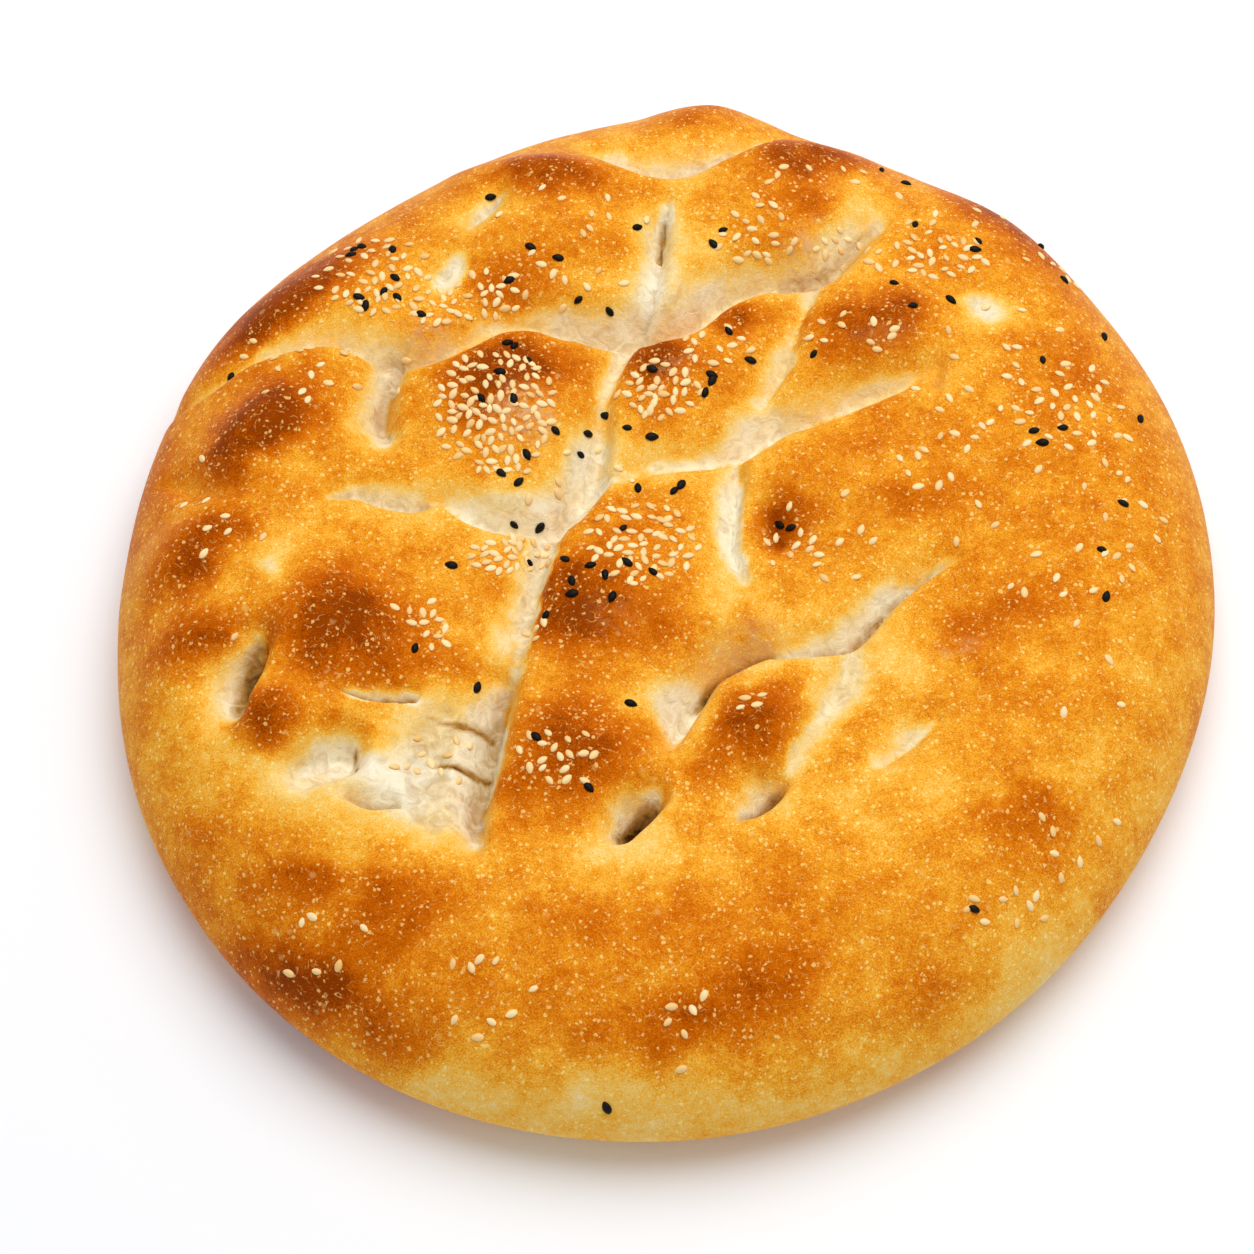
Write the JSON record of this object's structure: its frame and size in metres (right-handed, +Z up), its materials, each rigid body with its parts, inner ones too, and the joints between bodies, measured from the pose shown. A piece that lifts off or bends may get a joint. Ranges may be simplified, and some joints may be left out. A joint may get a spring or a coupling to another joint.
{
  "type": "pide",
  "caption": "Round leavened flatbread with finger-pressed creases between puffed blocks, a smooth puffy rim and baked-on sesame and nigella seeds.",
  "frame": {"origin": "middle of the loaf's outline box, on the plane of its flat base", "axes": "+Z up through the crust, -Y towards the wide smooth rim, +X to the right seen from there"},
  "size_m": [0.303, 0.3244, 0.0488],
  "materials": {
    "crust": "baked crust, golden to brown, dry with a faint sheen",
    "sesame": "toasted sesame seed, cream, satin",
    "nigella": "nigella seed, near black, matt"
  },
  "bodies": {
    "root": {"loaf": "crust"}
  },
  "joints": []
}
